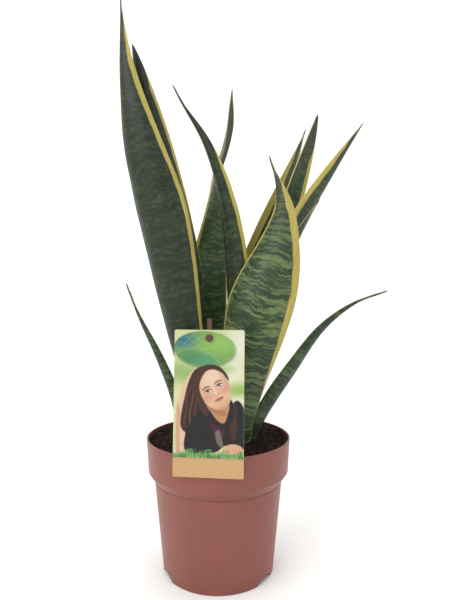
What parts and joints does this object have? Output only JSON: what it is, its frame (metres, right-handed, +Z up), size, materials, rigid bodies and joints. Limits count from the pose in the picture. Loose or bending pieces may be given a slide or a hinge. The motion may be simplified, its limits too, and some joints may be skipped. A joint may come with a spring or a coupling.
{
  "type": "potted snake plant",
  "caption": "Young variegated snake plant with upright sword-shaped leaves, in a terracotta-brown plastic nursery pot of soil, with a picture card on a stake at the rim.",
  "frame": {"origin": "centre of the pot's foot, on the flat pad in the middle of its underside, at the height it stands on", "axes": "+Z up along the pot's axis, -Y towards the side where the picture card hangs, +X to the right when the card is in front"},
  "size_m": [0.2199, 0.1247, 0.47],
  "materials": {
    "pot_plastic": "satin injection-moulded polypropylene, terracotta brown",
    "peat": "dark moist peat, crumbly",
    "leaf": "leathery dark green leaf with grey-green cross bands and yellow margins",
    "leaf_plain": "leathery young green leaf with faint bands and hardly any margin",
    "printed_card": "coated card with a printed picture",
    "stake_plastic": "satin moulded plastic, reddish brown"
  },
  "bodies": {
    "root": {"pot": "pot_plastic", "soil": "peat", "tall_left_leaf": "leaf", "tall_left_back_leaf": "leaf", "hooked_leaf": "leaf", "center_back_leaf": "leaf", "broad_front_leaf": "leaf", "right_pair_front_leaf": "leaf", "right_pair_back_leaf": "leaf", "right_back_leaf": "leaf", "short_right_back_leaf": "leaf", "arched_right_leaf": "leaf_plain", "short_left_leaf": "leaf_plain", "label_card": "printed_card", "label_stake": "stake_plastic"}
  },
  "joints": []
}
